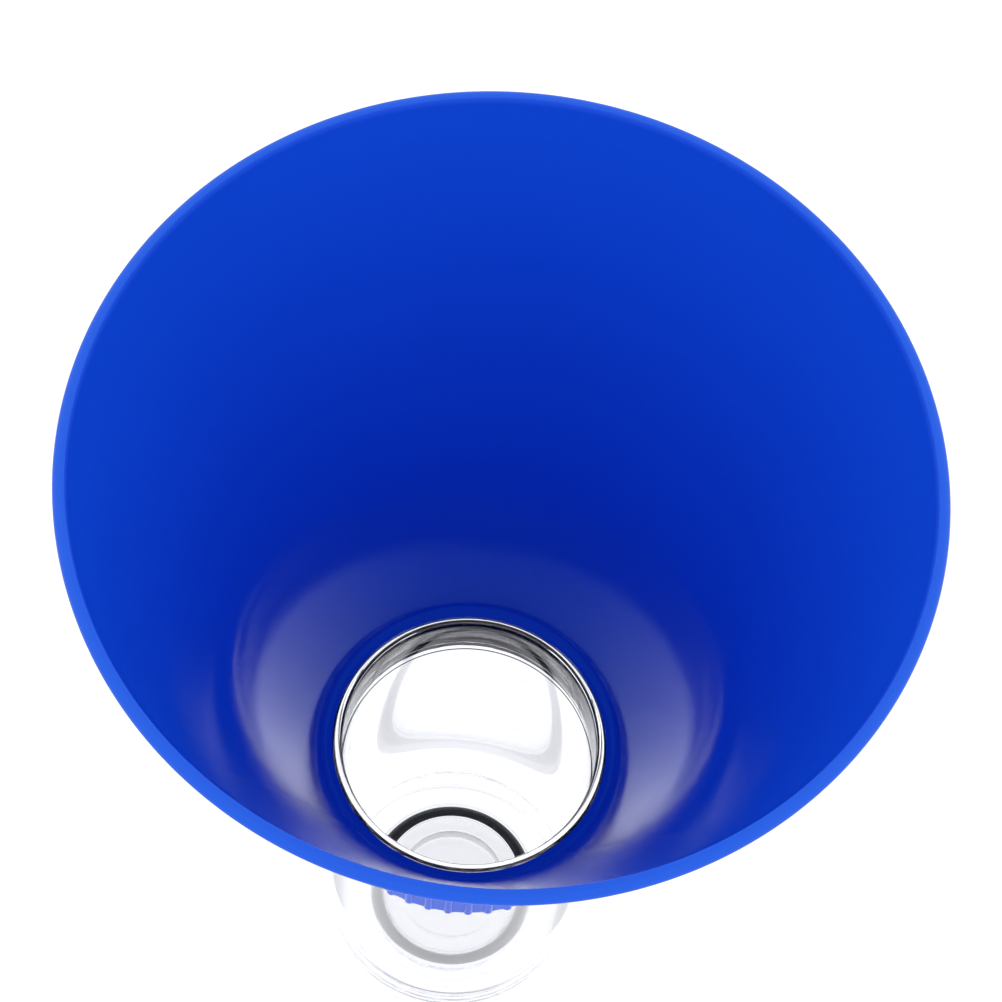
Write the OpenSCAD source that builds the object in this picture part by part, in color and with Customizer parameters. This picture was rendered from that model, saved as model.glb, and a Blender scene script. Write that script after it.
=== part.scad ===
// Fuel sampler cup: a wide catch funnel screwed on the neck of a clear sample cup.
// The cup's floor is closed by a screw-in plug that holds the sediment well.
// The origin is the centre of the ring it stands on, with +Z up along its axis.

/* [Funnel] */
// Outside diameter of the mouth
mouth_d = 100; // [92:1:110]
// Height of the cone, from the ledge at its foot to the top of the lip
cone_h = 81.4; // [75:0.1:90]
// Wall thickness of the cone
cone_wall = 1.3; // [1.1:0.1:1.6]
// Inside diameter of the cone where it meets the ledge
throat_d = 38.8; // [38:0.1:40.6]
// Radial width of the rounded lip
lip_w = 1.45; // [1.35:0.05:1.7]
// Height of the lip's thickened band
lip_h = 1.6; // [1.5:0.1:2.6]
// Radius of the fillet between the ledge and the cone
throat_fillet = 0.7; // [0.4:0.1:1]
// Thickness of the ledge over the neck seal
ledge_t = 1.2; // [1:0.1:1.4]

/* [Grip skirt] */
// Height of the ribbed skirt below the ledge
skirt_h = 10; // [9.8:0.1:10.2]
// Number of grip ribs
rib_count = 48; // [36:4:56]
// Width of one rib
rib_w = 1.1; // [0.9:0.1:1.2]
// How far a rib stands out of the skirt
rib_out = 0.45; // [0.3:0.05:0.5]

/* [Cup] */
// Outside diameter of the neck below its thread
neck_d = 35.6; // [35.4:0.1:35.7]
// Wall thickness of the neck
neck_wall = 1.1; // [1.1:0.05:1.2]
// Height of the top of the neck above the standing plane
neck_top = 64.65; // [60:0.05:72]
// Height of the floor's upper face above the standing plane
floor_z = 10.4; // [10:0.1:11]
// Inside diameter of the cup at its floor
floor_d = 32.4; // [32.2:0.1:32.8]
// Wall thickness of the cup at its floor
cup_wall = 1.3; // [1.2:0.1:1.5]
// Radius of the fillet between the floor and the wall
floor_fillet = 1.8; // [1:0.1:2.2]
// Depth of the smooth bore that the plug's O-ring seals in
seal_bore_h = 3; // [2.8:0.1:3.2]

/* [Neck thread] */
// Rise of the neck thread in one turn
neck_pitch = 2; // [1.8:0.05:2]
// Turns of thread on the neck
neck_turns = 1.9; // [1.5:0.1:1.9]
// Height of a neck thread ridge
neck_ridge = 0.65; // [0.55:0.05:0.7]

/* [Base plug] */
// Diameter of the sediment well
well_d = 15.1; // [12:0.1:15.6]
// Depth of the sediment well below the floor
well_depth = 3.1; // [2.5:0.05:4]
// Diameter of the plug's body without its thread
plug_d = 23.5; // [23.5:0.05:23.7]
// Rise of the plug thread in one turn
plug_pitch = 1.5; // [1.4:0.1:1.6]
// Turns of thread on the plug
plug_turns = 2.4; // [1.6:0.1:2.5]
// Height of a plug thread ridge
plug_ridge = 0.5; // [0.4:0.05:0.55]
// Width of the coin slot under the plug
slot_w = 2.6; // [2:0.1:3.2]
// Length of the coin slot
slot_l = 17; // [14:0.5:19]
// Depth of the coin slot
slot_depth = 2.5; // [1.5:0.1:3]

/* [Seals] */
// Radial width of the neck seal
neck_seal_w = 1.3; // [1.2:0.05:1.3]
// Height of the neck seal
neck_seal_h = 1.8; // [1.7:0.05:1.85]
// Radius of the two lips inside the neck seal
neck_seal_lip = 0.4; // [0.3:0.05:0.4]
// Cord diameter of the plug's O-ring
plug_ring_cord = 1.8; // [1.65:0.05:1.8]
// Inside diameter of the plug's O-ring
plug_ring_id = 20; // [19.8:0.1:20.2]

/* [Hidden] */
$fn = 96;

// Clearances between pieces that turn or slide on each other
thread_gap = 0.25;
end_gap = 0.35;
fit_gap = 0.1;

// Funnel, from the ledge up
ledge_z = neck_top + end_gap;
mouth_z = ledge_z + cone_h;
mouth_r = mouth_d / 2;
lip_edge = 0.2;
throat_r = throat_d / 2;
lip_z = mouth_z - lip_edge;
cone_angle = atan((mouth_r - lip_w - throat_r) / (lip_z - ledge_z));
ledge_drop = 0.3;
edge = 0.4;

// Neck and the thread that joins it to the funnel
neck_r = neck_d / 2;
bore_r = neck_r - neck_wall;
throat_hole_r = neck_r + fit_gap + 0.1;
insert_bore_r = neck_r + neck_ridge + thread_gap;
insert_wall = 0.6;
socket_r = insert_bore_r + insert_wall;
skirt_wall = 1;
skirt_r = socket_r + skirt_wall;
skirt_z = ledge_z - skirt_h;
seat_z = ledge_z - ledge_t - ledge_drop;
seal_room = 2;
insert_top = seat_z - seal_room;
insert_z = skirt_z + 1.4;
thread_z = insert_z + 0.65;
seal_r = neck_r + fit_gap;
seal_z = (seat_z + insert_top) / 2;

// Cup body
neck_z = skirt_z - end_gap;
lip_outer = 0.35;
lip_inner = 0.7;
step_z = skirt_z + 1.9;
step_in = 0.1;
floor_r = floor_d / 2;
foot_edge = 0.8;

// Plug, its hole in the floor and its O-ring
plug_r = plug_d / 2;
hole_r = plug_r + plug_ridge + thread_gap;
nose_r = plug_ring_id / 2 - 0.1;
seal_bore_r = plug_ring_id / 2 + plug_ring_cord + 0.1;
bore_edge = 0.25;
plug_top = floor_z - fit_gap;
plug_z = 0.3;
ring_drop = 0.7;
plug_ring_z = floor_z - ring_drop - plug_ring_cord / 2;
shoulder_z = plug_ring_z - plug_ring_cord / 2 - 0.05;
plug_thread_z = 1.9;

// Points on an arc about [x, z]
function arc(x, z, r, a0, a1, n = 8) =
    [for (i = [0:n]) let (a = a0 + (a1 - a0) * i / n) [x + r * cos(a), z + r * sin(a)]];

// How much of a thread ridge stands up at step i of n: it runs in and out over ten steps
function ridge_part(i, n) = min(1, i / 10, (n - i) / 10);

// The four corners of a thread ridge's section at one angle; side is 1 outward and -1 inward
function ridge_ring(r, side, h, w, a, z) =
    [for (p = [[-0.25, -w / 2 - 0.1], [h, -w / 4], [h, w / 4], [-0.25, w / 2 + 0.1]])
        let (q = r + side * p[0]) [q * cos(a), q * sin(a), z + p[1]]];

// A helical thread ridge on a cylinder of radius r, starting at height z
module thread_ridge(r, side, h, w, pitch, turns, z, start = 0) {
    steps = ceil(turns * 48);
    points = [for (i = [0:steps])
        each ridge_ring(r, side, -0.2 + (h + 0.2) * ridge_part(i, steps), w,
            start + i * 7.5, z + pitch * i / 48)];
    quads = [for (i = [0:steps - 1], k = [0:3])
        let (a = 4 * i + k, b = 4 * i + (k + 1) % 4) [a, b, b + 4, a + 4]];
    sides = [for (q = quads) each [[q[0], q[1], q[2]], [q[0], q[2], q[3]]]];
    last = 4 * steps;
    caps = [[0, 2, 1], [0, 3, 2], [last, last + 1, last + 2], [last, last + 2, last + 3]];
    faces = concat(sides, caps);
    polyhedron(points, side > 0 ? faces : [for (f = faces) [f[2], f[1], f[0]]]);
}

module funnel_profile() {
    fillet_t = throat_fillet * (1 - sin(cone_angle));
    fillet_x = throat_r + fillet_t * tan(cone_angle) - throat_fillet * cos(cone_angle);
    outer_x = mouth_r - lip_w + cone_wall * cos(cone_angle);
    outer_z = lip_z - cone_wall * sin(cone_angle);
    shoulder_z = outer_z - (outer_x - skirt_r) / tan(cone_angle);
    lip_low = mouth_z - lip_h;
    under_z = lip_low - 0.6;
    polygon(concat(
        arc(fillet_x, ledge_z + throat_fillet, throat_fillet, -90, -cone_angle),
        arc(mouth_r - lip_w + lip_edge, lip_z, lip_edge, 180, 90, 3),
        [for (i = [1:12])
            [mouth_r - (lip_w - lip_edge) * (1 - sin(i * 7.5)),
                lip_low + 0.3 + (lip_h - 0.3) * cos(i * 7.5)]],
        arc(mouth_r - 0.3, lip_low + 0.3, 0.3, 0, -90, 3),
        [
            [outer_x - (outer_z - under_z) * tan(cone_angle), under_z],
            [skirt_r, shoulder_z],
            [skirt_r, skirt_z + edge],
            [skirt_r - edge, skirt_z],
            [socket_r, skirt_z],
            [socket_r, seat_z],
            [throat_hole_r, seat_z],
            [throat_hole_r, ledge_z - ledge_drop]
        ]
    ));
}

module skirt_ribs() {
    for (i = [0:rib_count - 1])
        rotate(i * 360 / rib_count)
            translate([skirt_r + rib_out - rib_w / 2, 0, skirt_z + edge])
                cylinder(d = rib_w, h = skirt_h - edge, $fn = 24);
}

module catch_funnel() {
    color("#1440e6") {
        rotate_extrude() funnel_profile();
        skirt_ribs();
    }
}

module thread_insert() {
    color("#4a4b50") {
        translate([0, 0, insert_z]) difference() {
            cylinder(r = socket_r, h = insert_top - insert_z);
            translate([0, 0, -1]) cylinder(r = insert_bore_r, h = insert_top - insert_z + 2);
        }
        thread_ridge(insert_bore_r, -1, neck_ridge, neck_pitch / 2, neck_pitch, neck_turns, thread_z, 180);
    }
}

module neck_seal() {
    lip_up = neck_seal_h / 2 - neck_seal_lip;
    color("#1c1c1e") rotate_extrude() translate([seal_r, seal_z]) {
        for (z = [-lip_up, lip_up])
            translate([neck_seal_lip, z]) circle(r = neck_seal_lip, $fn = 32);
        translate([neck_seal_lip, -neck_seal_h / 2])
            square([neck_seal_w - neck_seal_lip, neck_seal_h]);
    }
}

module cup_profile() {
    foot_r = floor_r + cup_wall;
    polygon(concat(
        [
            [seal_bore_r + bore_edge, floor_z],
            [seal_bore_r, floor_z - bore_edge],
            [seal_bore_r, floor_z - seal_bore_h],
            [hole_r, floor_z - seal_bore_h - 0.3],
            [hole_r, edge],
            [hole_r + edge, 0],
            [foot_r - foot_edge, 0]
        ],
        arc(foot_r - foot_edge, foot_edge, foot_edge, -90, 0),
        [
            [foot_r, floor_z],
            [neck_r, neck_z]
        ],
        arc(neck_r - lip_outer, neck_top - lip_outer, lip_outer, 0, 90, 5),
        arc(bore_r + lip_inner, neck_top - lip_inner, lip_inner, 90, 180),
        [
            [bore_r, step_z],
            [bore_r - step_in, step_z - step_in]
        ],
        arc(floor_r - floor_fillet, floor_z + floor_fillet, floor_fillet, 0, -90)
    ));
}

module sample_cup() {
    color("#dfe6ee", 0.45) {
        rotate_extrude() cup_profile();
        thread_ridge(neck_r, 1, neck_ridge, neck_pitch / 2, neck_pitch, neck_turns, thread_z);
        thread_ridge(hole_r, -1, plug_ridge, plug_pitch / 2, plug_pitch, plug_turns, plug_thread_z);
    }
}

module coin_slot() {
    ends = (slot_l - slot_w) / 2;
    translate([0, 0, plug_z - 1]) {
        for (x = [-ends, ends]) translate([x, 0, 0]) cylinder(d = slot_w, h = slot_depth + 1);
        translate([-ends, -slot_w / 2, 0]) cube([2 * ends, slot_w, slot_depth + 1]);
    }
}

module base_plug() {
    color("#dfe6ee", 0.45) {
        difference() {
            union() {
                translate([0, 0, plug_z]) cylinder(r1 = plug_r - edge, r2 = plug_r, h = edge);
                translate([0, 0, plug_z + edge]) cylinder(r = plug_r, h = shoulder_z - plug_z - edge);
                translate([0, 0, plug_z + edge]) cylinder(r = nose_r, h = plug_top - plug_z - edge);
            }
            translate([0, 0, floor_z - well_depth]) cylinder(d = well_d, h = well_depth + 1);
            coin_slot();
        }
        thread_ridge(plug_r, 1, plug_ridge, plug_pitch / 2, plug_pitch, plug_turns, plug_thread_z, 180);
    }
}

module plug_o_ring() {
    color("#1c1c1e")
        rotate_extrude()
            translate([plug_ring_id / 2 + plug_ring_cord / 2, plug_ring_z])
                circle(d = plug_ring_cord, $fn = 32);
}

catch_funnel();
thread_insert();
neck_seal();
sample_cup();
base_plug();
plug_o_ring();
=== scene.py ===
import math

import bmesh
import bpy
from mathutils import Matrix, Vector


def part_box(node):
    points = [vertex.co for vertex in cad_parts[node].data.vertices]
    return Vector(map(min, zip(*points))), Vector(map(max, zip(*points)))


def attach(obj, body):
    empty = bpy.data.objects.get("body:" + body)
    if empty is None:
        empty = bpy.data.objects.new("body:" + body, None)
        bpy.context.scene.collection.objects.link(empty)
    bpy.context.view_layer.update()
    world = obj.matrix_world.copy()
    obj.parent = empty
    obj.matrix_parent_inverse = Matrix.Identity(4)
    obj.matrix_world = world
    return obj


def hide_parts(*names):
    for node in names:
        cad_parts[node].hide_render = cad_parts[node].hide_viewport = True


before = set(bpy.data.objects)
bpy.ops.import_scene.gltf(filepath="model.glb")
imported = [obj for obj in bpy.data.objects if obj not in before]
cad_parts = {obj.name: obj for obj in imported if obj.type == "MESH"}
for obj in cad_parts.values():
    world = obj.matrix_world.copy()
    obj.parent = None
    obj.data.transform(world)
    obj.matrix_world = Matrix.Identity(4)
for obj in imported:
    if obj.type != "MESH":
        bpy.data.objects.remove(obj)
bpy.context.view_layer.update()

MM = 0.001
TURN = 2 * math.pi

# ---------------------------------------------------------------- sizes, from the frame
FUNNEL_LOW, FUNNEL_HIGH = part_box("catch_funnel")
CUP_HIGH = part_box("sample_cup")[1]
PLUG_LOW, PLUG_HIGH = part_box("base_plug")
INSERT_LOW, INSERT_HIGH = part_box("thread_insert")
SEAL_LOW, SEAL_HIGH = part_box("neck_seal")
RING_LOW, RING_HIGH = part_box("plug_o_ring")

MOUTH_R = FUNNEL_HIGH.x / MM
MOUTH_Z = FUNNEL_HIGH.z / MM
SKIRT_Z = FUNNEL_LOW.z / MM
NECK_TOP = CUP_HIGH.z / MM

# Funnel, in millimetres
LEDGE_Z = NECK_TOP + 0.35
THROAT_R = 19.4
CONE_WALL = 1.3
LIP_W = 1.45
LIP_H = 1.6
LIP_EDGE = 0.2
THROAT_FILLET = 0.7
LEDGE_DROP = 0.3
LEDGE_HOLE_R = 18.0
SEAT_Z = LEDGE_Z - 1.5
SOCKET_R = 19.3
SKIRT_R = 20.3
SKIRT_EDGE = 0.4
RIB_COUNT = 48
RIB_W = 1.1
RIB_OUT = 0.45

# Cup
NECK_R = 17.8
NECK_WALL = 1.1
LIP_OUTER = 0.35
LIP_INNER = 0.7
BORE_R = NECK_R - NECK_WALL
STEP_Z = SKIRT_Z + 1.9
STEP_IN = 0.1
NECK_Z = SKIRT_Z - 0.35
FLOOR_Z = PLUG_HIGH.z / MM + 0.1
FLOOR_R = 16.2
FLOOR_FILLET = 1.8
FOOT_R = 17.5
FOOT_EDGE = 0.8

# Neck thread
NECK_PITCH = 2.0
NECK_TURNS = 1.9
NECK_RIDGE = 0.65
THREAD_Z = SKIRT_Z + 2.05

# Neck seal
SEAL_LIP = 0.4
SEAL_PRESS = 0.006

# Plug, its thread, its hole and its O-ring
FLASH_OUT = 0.02
PLUG_R = 11.75
PLUG_RIDGE = 0.5
PLUG_PITCH = 1.5
PLUG_TURNS = 2.4
PLUG_Z = PLUG_LOW.z / MM
PLUG_TOP = PLUG_HIGH.z / MM
PLUG_THREAD_Z = PLUG_Z + 1.6
HOLE_R = PLUG_R + PLUG_RIDGE + 0.25
RING_R = RING_HIGH.x / MM
NOSE_R = RING_R - (RING_HIGH.z - RING_LOW.z) / MM - 0.1
SEAL_BORE_R = RING_R + 0.1
SEAL_BORE_H = 3.0
BORE_EDGE = 0.25
SHOULDER_Z = RING_LOW.z / MM - 0.05
WELL_R = 7.55
WELL_DEPTH = 3.1
SLOT_L = 17.0
SLOT_W = 2.6
SLOT_DEPTH = 2.5

# Camera, in mouth radii and degrees
VIEW_TILT = 25.465
VIEW_ROLL = 7.389
VIEW_MOUTH = (0.0065, 0.051, -8.036)
VIEW_DROP = 1.4
VIEW_LENS = 129.76

# Plastic and rubber
PLASTIC_IOR = 1.5
BLUE_LOW = (0.007, 0.090, 0.80, 1)
BLUE_HIGH = (0.009, 0.102, 0.86, 1)
# The lip colour is a painted highlight where the rim catches the light.
BLUE_LIP_HIGHLIGHT = (0.032, 0.150, 1.0, 1)
BLUE_SHINE = (0.25, 0.95, 1.0, 1)
CLEAR_TINT = (0.968, 0.962, 0.980, 1)
# The frosted grey tint is painted shade in the plug's well.
WELL_SHADE_TINT = (0.55, 0.54, 0.58, 1)
RUBBER_LOW = (0.010, 0.011, 0.016, 1)
RUBBER_HIGH = (0.018, 0.019, 0.026, 1)
# The insert's near-black grey is painted shade for the unlit inside of the skirt.
SHADE_GREY_LOW = (0.022, 0.019, 0.034, 1)
SHADE_GREY_HIGH = (0.036, 0.031, 0.052, 1)

# Light, with the floor's pool in metres
SKY_LOW_Z = 0.70
SKY_HIGH_Z = 0.94
SKY_SIDE = 0.95
SKY_TOP = 0.45
LIGHT_TINT = (0.96, 0.98, 1.0, 1)
# The floor's glow is painted light: a glowing pool, with no lamp.
FLOOR_GLOW = 0.83
FLOOR_DIM = 0.3
FLOOR_GREY = 0.5
FLOOR_SIZE = 6
POOL_Y = 0.09
POOL_IN = 0.118
POOL_OUT = 0.23


# ---------------------------------------------------------------- mesh tools
def arc(x, z, r, start, end, steps=8):
    """Points (radius, height) on an arc about (x, z); the angles are in degrees."""
    angles = [math.radians(start + (end - start) * i / steps) for i in range(steps + 1)]
    return [(x + r * math.cos(a), z + r * math.sin(a)) for a in angles]


def line(a, b, step):
    """Points from a to b, both included, no further apart than step."""
    count = max(1, math.ceil(math.dist(a, b) / step))
    return [(a[0] + (b[0] - a[0]) * i / count, a[1] + (b[1] - a[1]) * i / count)
            for i in range(count + 1)]


def tidy(points, gap=0.01):
    """The points without neighbours that coincide."""
    kept = []
    for p in points:
        if not kept or math.dist(p, kept[-1]) > gap:
            kept.append(p)
    if len(kept) > 1 and math.dist(kept[0], kept[-1]) < gap:
        kept.pop()
    return kept


def even_angles(count):
    return [TURN * i / count for i in range(count)]


def new_mesh(name, verts, faces, sharp=35):
    mesh = bpy.data.meshes.new(name)
    mesh.from_pydata([Vector(v) * MM for v in verts], [], faces)
    mesh.validate()
    mesh.polygons.foreach_set("use_smooth", [True] * len(mesh.polygons))
    mesh.set_sharp_from_angle(angle=math.radians(sharp))
    obj = bpy.data.objects.new(name, mesh)
    bpy.context.scene.collection.objects.link(obj)
    return obj


def lathe(name, profile, angles, out=None, sharp=35):
    """A closed profile turned about Z. out(r, z, angle) adds to the radius where it is wanted."""
    rows = len(profile)
    verts = []
    for a in angles:
        for r, z in profile:
            grown = r + (out(r, z, a) if out else 0)
            verts.append((grown * math.cos(a), grown * math.sin(a), z))
    faces = []
    for i in range(len(angles)):
        j = (i + 1) % len(angles)
        for k in range(rows):
            m = (k + 1) % rows
            faces.append((i * rows + k, j * rows + k, j * rows + m, i * rows + m))
    return new_mesh(name, verts, faces, sharp)


def helix_out(z, angle, start_z, pitch, turns, height, side=1, start=0, share=0.5):
    """How far a thread ridge stands out at a height and angle.

    start is its first angle in turns, and share is the part of the pitch that it fills.
    """
    best = 0.0
    first = (angle / TURN - start) % 1
    for k in range(int(turns) + 1):
        t = first + k
        if t > turns:
            break
        run = min(1.0, t * 5, (turns - t) * 5)
        away = abs(z - (start_z + pitch * t))
        flank = (pitch * share / 2 + 0.1 - away) / 0.2
        rise = min(1.0, max(0.0, flank))
        best = max(best, run * rise * rise * (3 - 2 * rise))
    return side * height * best


# ---------------------------------------------------------------- materials
def material(name):
    made = bpy.data.materials.new(name)
    made.use_nodes = True
    return made, made.node_tree.nodes, made.node_tree.links, made.node_tree.nodes["Principled BSDF"]


def noise(nodes, links, scale, detail=2):
    """Noise over the piece itself, in its own coordinates."""
    coords = nodes.new("ShaderNodeTexCoord")
    made = nodes.new("ShaderNodeTexNoise")
    made.inputs["Scale"].default_value = scale
    made.inputs["Detail"].default_value = detail
    links.new(coords.outputs["Object"], made.inputs["Vector"])
    return made.outputs["Fac"]


def ramp(nodes, links, source, low, high):
    made = nodes.new("ShaderNodeValToRGB")
    made.color_ramp.elements[0].color = low
    made.color_ramp.elements[1].color = high
    links.new(source, made.inputs["Fac"])
    return made.outputs["Color"]


def spread(nodes, links, source, low, high):
    made = nodes.new("ShaderNodeMapRange")
    made.inputs["To Min"].default_value = low
    made.inputs["To Max"].default_value = high
    links.new(source, made.inputs["Value"])
    return made.outputs["Result"]


def lip_highlight_mask(nodes, links):
    """1 on the lip and 0 further in, from the distance to the axis; it places the painted highlight
    on the lip.
    """
    coords = nodes.new("ShaderNodeTexCoord")
    flat = nodes.new("ShaderNodeVectorMath")
    flat.operation = "MULTIPLY"
    flat.inputs[1].default_value = (1, 1, 0)
    links.new(coords.outputs["Object"], flat.inputs[0])
    radius = nodes.new("ShaderNodeVectorMath")
    radius.operation = "LENGTH"
    links.new(flat.outputs["Vector"], radius.inputs[0])
    edge = nodes.new("ShaderNodeMapRange")
    edge.inputs["From Min"].default_value = (MOUTH_R - 1.2 * LIP_W) * MM
    edge.inputs["From Max"].default_value = (MOUTH_R - LIP_W) * MM
    links.new(radius.outputs["Value"], edge.inputs["Value"])
    return edge.outputs["Result"]


def blue_plastic():
    """Moulded plastic with a faint cloud, a fine grain and a lip painted paler, a painted highlight
    where the rim catches the light.
    """
    made, nodes, links, shader = material("blue_plastic")
    cloud = noise(nodes, links, 35, 3)
    pale = nodes.new("ShaderNodeMix")
    pale.data_type = "RGBA"
    colour_a, colour_b, colour_out = pale.inputs[6], pale.inputs[7], pale.outputs[2]
    links.new(lip_highlight_mask(nodes, links), pale.inputs["Factor"])
    links.new(ramp(nodes, links, cloud, BLUE_LOW, BLUE_HIGH), colour_a)
    # Painted highlight: the lip is made paler where the rim catches the light.
    colour_b.default_value = BLUE_LIP_HIGHLIGHT
    links.new(colour_out, shader.inputs["Base Color"])
    grain = noise(nodes, links, 900, 4)
    links.new(spread(nodes, links, grain, 0.08, 0.13), shader.inputs["Roughness"])
    bump = nodes.new("ShaderNodeBump")
    bump.inputs["Strength"].default_value = 0.05
    bump.inputs["Distance"].default_value = 0.0001
    links.new(grain, bump.inputs["Height"])
    links.new(bump.outputs["Normal"], shader.inputs["Normal"])
    shader.inputs["IOR"].default_value = PLASTIC_IOR
    shader.inputs["Specular IOR Level"].default_value = 0.15
    shader.inputs["Specular Tint"].default_value = BLUE_SHINE
    return made


def clear_plastic():
    """Clear plastic with a slight, uneven haze."""
    made, nodes, links, shader = material("clear_plastic")
    shader.inputs["Base Color"].default_value = CLEAR_TINT
    shader.inputs["IOR"].default_value = PLASTIC_IOR
    shader.inputs["Transmission Weight"].default_value = 1.0
    haze = noise(nodes, links, 120)
    links.new(spread(nodes, links, haze, 0.01, 0.05), shader.inputs["Roughness"])
    return made


def frosted_and_shaded_plastic():
    """The clear plastic where the drill has left fine turning marks; its grey tint is painted shade
    in the well.
    """
    made, nodes, links, shader = material("frosted_and_shaded_plastic")
    # Painted shade: the grey tint darkens the well's wall.
    shader.inputs["Base Color"].default_value = WELL_SHADE_TINT
    shader.inputs["IOR"].default_value = PLASTIC_IOR
    shader.inputs["Transmission Weight"].default_value = 1.0
    coords = nodes.new("ShaderNodeTexCoord")
    marks = nodes.new("ShaderNodeTexWave")
    marks.bands_direction = "Z"
    marks.inputs["Scale"].default_value = 900
    marks.inputs["Distortion"].default_value = 2
    links.new(coords.outputs["Object"], marks.inputs["Vector"])
    links.new(spread(nodes, links, marks.outputs["Fac"], 0.3, 0.5), shader.inputs["Roughness"])
    return made


def grained(name, scale, low, high, roughness):
    """A dark material with a fine two-tone grain."""
    made, nodes, links, shader = material(name)
    grain = noise(nodes, links, scale)
    links.new(ramp(nodes, links, grain, low, high), shader.inputs["Base Color"])
    shader.inputs["Roughness"].default_value = roughness
    return made


# ---------------------------------------------------------------- pieces
def cone_slope():
    return math.atan((MOUTH_R - LIP_W - THROAT_R) / (MOUTH_Z - LIP_EDGE - LEDGE_Z))


def funnel_profile():
    slope = cone_slope()
    lip_z = MOUTH_Z - LIP_EDGE
    up = THROAT_FILLET * (1 - math.sin(slope))
    fillet_x = THROAT_R + up * math.tan(slope) - THROAT_FILLET * math.cos(slope)
    throat = arc(fillet_x, LEDGE_Z + THROAT_FILLET, THROAT_FILLET, -90, -math.degrees(slope), 10)
    lip = arc(MOUTH_R - LIP_W + LIP_EDGE, lip_z, LIP_EDGE, 180, 90, 5)
    for i in range(1, 19):
        a = math.radians(i * 5)
        lip.append((MOUTH_R - (LIP_W - LIP_EDGE) * (1 - math.sin(a)),
                    MOUTH_Z - LIP_H + 0.3 + (LIP_H - 0.3) * math.cos(a)))
    low = arc(MOUTH_R - 0.3, MOUTH_Z - LIP_H + 0.3, 0.3, 0, -90, 5)
    outer_x = MOUTH_R - LIP_W + CONE_WALL * math.cos(slope)
    outer_z = lip_z - CONE_WALL * math.sin(slope)
    shoulder_z = outer_z - (outer_x - SKIRT_R) / math.tan(slope)
    under_z = MOUTH_Z - LIP_H - 0.6
    under_x = outer_x - (outer_z - under_z) * math.tan(slope)
    outside = line((under_x, under_z), (SKIRT_R, shoulder_z), 4)
    skirt = line((SKIRT_R, shoulder_z), (SKIRT_R, SKIRT_Z + SKIRT_EDGE), 0.25)
    edge = arc(SKIRT_R - SKIRT_EDGE, SKIRT_Z + SKIRT_EDGE, SKIRT_EDGE, 0, -90, 5)
    inside = [(SOCKET_R, SKIRT_Z), (SOCKET_R, SEAT_Z), (LEDGE_HOLE_R, SEAT_Z)]
    ledge = [(LEDGE_HOLE_R, LEDGE_Z - LEDGE_DROP - 0.1), (LEDGE_HOLE_R + 0.1, LEDGE_Z - LEDGE_DROP)]
    cone = line(throat[-1], lip[0], 4)
    return tidy(throat + cone + lip + low + outside + skirt + edge + inside + ledge)[::-1]


def rib_angles():
    """Angles that put enough points on each rib's round face."""
    pitch = TURN * SKIRT_R / RIB_COUNT
    across = [-1, -0.92, -0.7, -0.36, 0, 0.36, 0.7, 0.92, 1]
    gap = [0.3, 0.5, 0.7]
    half = RIB_W / 2
    places = [half * s for s in across] + [half + (pitch - RIB_W) * g for g in gap]
    return [(i * pitch + s) / SKIRT_R for i in range(RIB_COUNT) for s in places]


def rib_out(r, z, angle):
    """The ribs stand out of the skirt and run into the cone above it."""
    wall = THROAT_R + (z - LEDGE_Z) * math.tan(cone_slope()) + 0.3
    if r < max(SKIRT_R - SKIRT_EDGE - 0.01, wall) or z > LEDGE_Z + 4:
        return 0
    pitch = TURN * SKIRT_R / RIB_COUNT
    s = (angle * SKIRT_R) % pitch
    s = min(s, pitch - s) / (RIB_W / 2)
    if s > 1:
        return 0
    foot = min(1.0, max(0.0, (z - SKIRT_Z - 0.2) / 0.6))
    tip = SKIRT_R + RIB_OUT * math.sqrt(1 - s * s) * math.sqrt(1 - (1 - foot) ** 2)
    return max(0.0, tip - r)


def catch_funnel():
    made = lathe("funnel_shell", funnel_profile(), rib_angles(), rib_out, 30)
    made.data.materials.append(BLUE)
    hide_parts("catch_funnel")
    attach(made, "funnel")


def thread_insert():
    """The screw thread in the skirt; its crests and roots press on the neck's thread. Its
    near-black grey is painted shade for the unlit inside of the skirt.
    """
    low, high = INSERT_LOW.z / MM, INSERT_HIGH.z / MM
    root = NECK_R + NECK_RIDGE - SEAL_PRESS
    bore = line((root, high), (root, low), 0.07)
    profile = tidy([(SOCKET_R - 0.01, low), (SOCKET_R - 0.01, high)] + bore)

    def ridge(r, z, angle):
        if r > root + 0.01:
            return 0
        return helix_out(z, angle, THREAD_Z, NECK_PITCH, NECK_TURNS, NECK_RIDGE, -1, 0.5, 0.44)

    made = lathe("insert_ring", profile, even_angles(360), ridge, 50)
    # Painted shade: the near-black grey stands for the unlit inside of the skirt.
    made.data.materials.append(SHADE_GREY)
    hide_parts("thread_insert")
    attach(made, "funnel")


def neck_seal():
    """A moulded ring with two lips inside that press on the neck."""
    low, high = SEAL_LOW.z / MM, SEAL_HIGH.z / MM
    middle, half = (low + high) / 2, (high - low) / 2
    outer = SEAL_HIGH.x / MM
    touch = NECK_R - SEAL_PRESS
    root = touch + SEAL_LIP
    section = arc(outer - 0.15, high - 0.15, 0.15, 0, 90, 4)
    section += [(root, high)] + arc(root, high - SEAL_LIP, SEAL_LIP, 90, 180, 8)[1:-1]
    section += [(touch, high - SEAL_LIP + 0.12), (touch, high - SEAL_LIP - 0.12)]
    section += arc(root, high - SEAL_LIP, SEAL_LIP, 180, 250, 6)[1:]
    section += [(x, 2 * middle - z) for x, z in section[::-1]]
    made = lathe("neck_ring_seal", tidy(section), even_angles(256), None, 60)
    made.data.materials.append(RUBBER)
    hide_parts("neck_seal")
    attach(made, "neck_ring")


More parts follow.
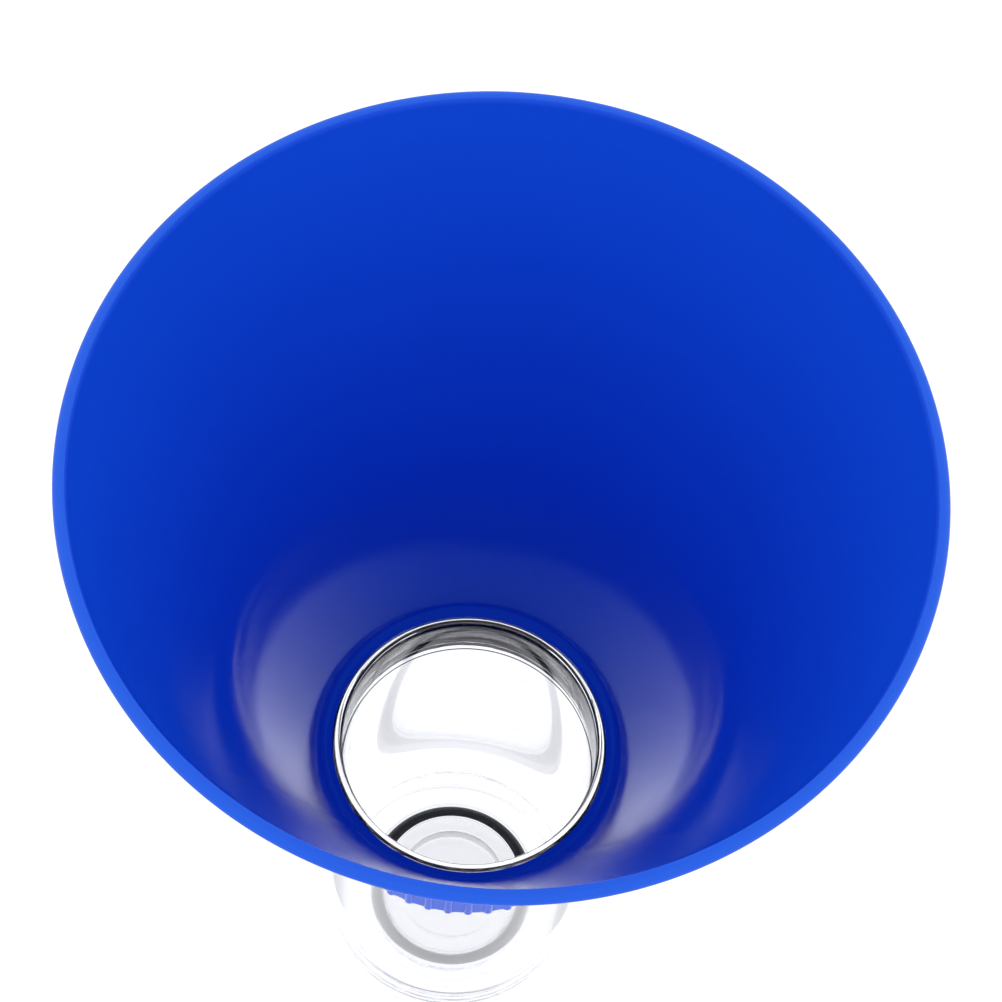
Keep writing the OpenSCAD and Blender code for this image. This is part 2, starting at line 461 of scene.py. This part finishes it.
def plug_o_ring():
    """A round cord ring with the fine flash line that its mould leaves inside and out."""
    cord = (RING_HIGH.z - RING_LOW.z) / MM / 2
    middle = RING_R - cord
    z = (RING_LOW.z + RING_HIGH.z) / 2 / MM
    section = []
    for i in range(64):
        a = TURN * i / 64
        line_out = FLASH_OUT if i in (0, 32) else 0
        radius = middle + (cord - FLASH_OUT + line_out) * math.cos(a)
        section.append((radius, z + cord * math.sin(a)))
    made = lathe("plug_ring_seal", section, even_angles(256), None, 60)
    made.data.materials.append(RUBBER)
    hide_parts("plug_o_ring")
    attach(made, "plug_ring")


def sample_cup():
    lip = arc(NECK_R - LIP_OUTER, NECK_TOP - LIP_OUTER, LIP_OUTER, 0, 90, 8)
    lip += arc(BORE_R + LIP_INNER, NECK_TOP - LIP_INNER, LIP_INNER, 90, 180, 12)
    neck = line((NECK_R, NECK_Z), (NECK_R, NECK_TOP - LIP_OUTER), 0.08)
    inner = [(BORE_R, STEP_Z), (BORE_R - STEP_IN, STEP_Z - STEP_IN)]
    wall = line((BORE_R - STEP_IN, STEP_Z - STEP_IN), (FLOOR_R, FLOOR_Z + FLOOR_FILLET), 4)
    floor = arc(FLOOR_R - FLOOR_FILLET, FLOOR_Z + FLOOR_FILLET, FLOOR_FILLET, 0, -90, 12)
    hole = arc(SEAL_BORE_R + BORE_EDGE, FLOOR_Z - BORE_EDGE, BORE_EDGE, 90, 180, 5)
    hole += [(SEAL_BORE_R, FLOOR_Z - SEAL_BORE_H), (HOLE_R, FLOOR_Z - SEAL_BORE_H - 0.3)]
    hole += line((HOLE_R, FLOOR_Z - SEAL_BORE_H - 0.4), (HOLE_R, 0.4), 0.08)
    foot = arc(HOLE_R + 0.4, 0.4, 0.4, 180, 270, 5)
    foot += arc(FOOT_R - FOOT_EDGE, FOOT_EDGE, FOOT_EDGE, -90, 0, 8)
    outer = line((FOOT_R, FLOOR_Z), (NECK_R, NECK_Z), 4)
    profile = tidy(lip + inner + wall + floor + hole + foot + outer + neck)

    def ridge(r, z, angle):
        if abs(r - NECK_R) < 0.005 and z > NECK_Z + 0.2:
            return helix_out(z, angle, THREAD_Z, NECK_PITCH, NECK_TURNS, NECK_RIDGE, 1, 0, 0.4)
        if abs(r - HOLE_R) < 0.005:
            return helix_out(z, angle, PLUG_THREAD_Z, PLUG_PITCH, PLUG_TURNS, PLUG_RIDGE, -1)
        return 0

    made = lathe("cup_body", profile, even_angles(320), ridge, 40)
    made.data.materials.append(CLEAR)
    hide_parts("sample_cup")
    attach(made, "cup")


def coin_slot():
    """A closed shape that fills the coin slot; its ends are round and its walls lean a little."""
    top = PLUG_Z + SLOT_DEPTH
    levels = [(-0.06, PLUG_Z - 1), (-0.06, PLUG_Z - 0.01), (0, PLUG_Z + 0.2),
              (0.06, top - 0.3), (0.15, top - 0.09), (0.36, top)]
    verts = []
    for inset, z in levels:
        radius = SLOT_W / 2 - inset
        for side in (1, -1):
            for i in range(17):
                a = math.radians(-90 + 180 * i / 16)
                verts.append((side * ((SLOT_L - SLOT_W) / 2 + radius * math.cos(a)),
                              side * radius * math.sin(a), z))
    count = len(verts) // len(levels)
    faces = [tuple(range(count))[::-1]]
    for k in range(len(levels) - 1):
        for i in range(count):
            j = (i + 1) % count
            faces.append((k * count + i, k * count + j, (k + 1) * count + j, (k + 1) * count + i))
    faces.append(tuple((len(levels) - 1) * count + i for i in range(count)))
    return new_mesh("slot", verts, faces)


def cut_away(obj, tool):
    """Takes the tool's shape out of the object."""
    cut = obj.modifiers.new("cut", "BOOLEAN")
    cut.operation = "DIFFERENCE"
    cut.solver = "EXACT"
    cut.object = tool
    graph = bpy.context.evaluated_depsgraph_get()
    mesh = bpy.data.meshes.new_from_object(obj.evaluated_get(graph))
    obj.modifiers.clear()
    obj.data = mesh
    bpy.data.objects.remove(tool)
    work = bmesh.new()
    work.from_mesh(mesh)
    bmesh.ops.remove_doubles(work, verts=work.verts, dist=1e-6)
    bmesh.ops.triangulate(work, faces=[f for f in work.faces if len(f.verts) > 4])
    bmesh.ops.dissolve_degenerate(work, dist=1e-6, edges=work.edges)
    work.to_mesh(mesh)
    work.free()
    mesh.polygons.foreach_set("use_smooth", [True] * len(mesh.polygons))
    mesh.set_sharp_from_angle(angle=math.radians(30))


def base_plug():
    nose = [(NOSE_R, SHOULDER_Z)] + arc(NOSE_R - 0.2, PLUG_TOP - 0.2, 0.2, 0, 90, 4)
    mouth = arc(WELL_R + 0.2, PLUG_TOP - 0.2, 0.2, 90, 180, 4)
    well = arc(WELL_R - 0.5, FLOOR_Z - WELL_DEPTH + 0.5, 0.5, 0, -90, 8)
    side = line((PLUG_R, PLUG_Z + 0.4), (PLUG_R, SHOULDER_Z), 0.08)
    profile = [(0.02, FLOOR_Z - WELL_DEPTH), (0.02, PLUG_Z), (PLUG_R - 0.4, PLUG_Z)]
    profile = tidy(profile + side + nose + mouth + well)

    def ridge(r, z, angle):
        if abs(r - PLUG_R) < 0.005:
            return helix_out(z, angle, PLUG_THREAD_Z, PLUG_PITCH, PLUG_TURNS, PLUG_RIDGE, 1, 0.5)
        return 0

    made = lathe("plug_body", profile, even_angles(320), ridge, 40)
    cut_away(made, coin_slot())
    made.data.materials.clear()
    made.data.materials.append(CLEAR)
    made.data.materials.append(FROSTED_AND_SHADED)
    # The well's wall takes the frosted material with its painted shade.
    for face in made.data.polygons:
        at = face.center / MM
        drilled = abs(math.hypot(at.x, at.y) - WELL_R) < 0.02 and at.z > FLOOR_Z - WELL_DEPTH + 0.3
        face.material_index = 1 if drilled else 0
    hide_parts("base_plug")
    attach(made, "plug")


def camera():
    """Stands where the mouth, the neck and the floor's ring line up as they should."""
    radius = MOUTH_R * MM
    tilt, roll = math.radians(VIEW_TILT), math.radians(VIEW_ROLL)
    turn = Matrix.Rotation(tilt, 4, "X") @ Matrix.Rotation(roll, 4, "Z")
    seen = Vector(VIEW_MOUTH) * radius
    data = bpy.data.cameras.new("view")
    data.lens = VIEW_LENS
    data.sensor_width = 36
    data.clip_start = 0.01
    made = bpy.data.objects.new("view", data)
    bpy.context.scene.collection.objects.link(made)
    turn.translation = Vector((0, 0, (MOUTH_Z - VIEW_DROP) * MM)) - turn @ seen
    made.matrix_world = turn
    bpy.context.scene.camera = made


def fade(nodes, links, source, span, ends):
    """A smooth change from ends[0] to ends[1] while the source crosses the span."""
    made = nodes.new("ShaderNodeMapRange")
    made.interpolation_type = "SMOOTHSTEP"
    made.inputs["From Min"].default_value, made.inputs["From Max"].default_value = span
    made.inputs["To Min"].default_value, made.inputs["To Max"].default_value = ends
    links.new(source, made.inputs["Value"])
    return made.outputs["Result"]


def sky():
    """Soft light all round, dimmer overhead."""
    world = bpy.data.worlds.new("studio")
    bpy.context.scene.world = world
    world.use_nodes = True
    nodes, links = world.node_tree.nodes, world.node_tree.links
    coords = nodes.new("ShaderNodeTexCoord")
    split = nodes.new("ShaderNodeSeparateXYZ")
    links.new(coords.outputs["Generated"], split.inputs["Vector"])
    level = fade(nodes, links, split.outputs["Z"], (SKY_LOW_Z, SKY_HIGH_Z), (SKY_SIDE, SKY_TOP))
    links.new(level, nodes["Background"].inputs["Strength"])
    nodes["Background"].inputs["Color"].default_value = LIGHT_TINT


def floor_plane():
    """A pale floor that glows brightest around the cup: a painted pool of light."""
    bpy.ops.mesh.primitive_plane_add(size=FLOOR_SIZE)
    floor = bpy.context.object
    floor.name = "floor"
    made, nodes, links, shader = material("floor_white")
    shader.inputs["Base Color"].default_value = (FLOOR_GREY, FLOOR_GREY, FLOOR_GREY, 1)
    shader.inputs["Roughness"].default_value = 0.8
    shader.inputs["Emission Color"].default_value = LIGHT_TINT
    coords = nodes.new("ShaderNodeTexCoord")
    away = nodes.new("ShaderNodeVectorMath")
    away.operation = "DISTANCE"
    away.inputs[1].default_value = (0, POOL_Y, 0)
    links.new(coords.outputs["Object"], away.inputs[0])
    # Painted pool of light: the floor's glow is strongest near the cup and fades outward.
    pool = fade(nodes, links, away.outputs["Value"], (POOL_IN, POOL_OUT), (FLOOR_GLOW, FLOOR_DIM))
    links.new(pool, shader.inputs["Emission Strength"])
    floor.data.materials.append(made)


def studio():
    scene = bpy.context.scene
    scene.view_settings.view_transform = "Standard"
    scene.cycles.use_denoising = True
    scene.cycles.max_bounces = 24
    scene.cycles.transmission_bounces = 16
    scene.cycles.glossy_bounces = 8
    sky()
    floor_plane()


BLUE = blue_plastic()
CLEAR = clear_plastic()
FROSTED_AND_SHADED = frosted_and_shaded_plastic()
RUBBER = grained("black_rubber", 2500, RUBBER_LOW, RUBBER_HIGH, 0.12)
SHADE_GREY = grained("shade_grey_plastic", 1500, SHADE_GREY_LOW, SHADE_GREY_HIGH, 0.5)
camera()
studio()
catch_funnel()
thread_insert()
neck_seal()
plug_o_ring()
sample_cup()
base_plug()
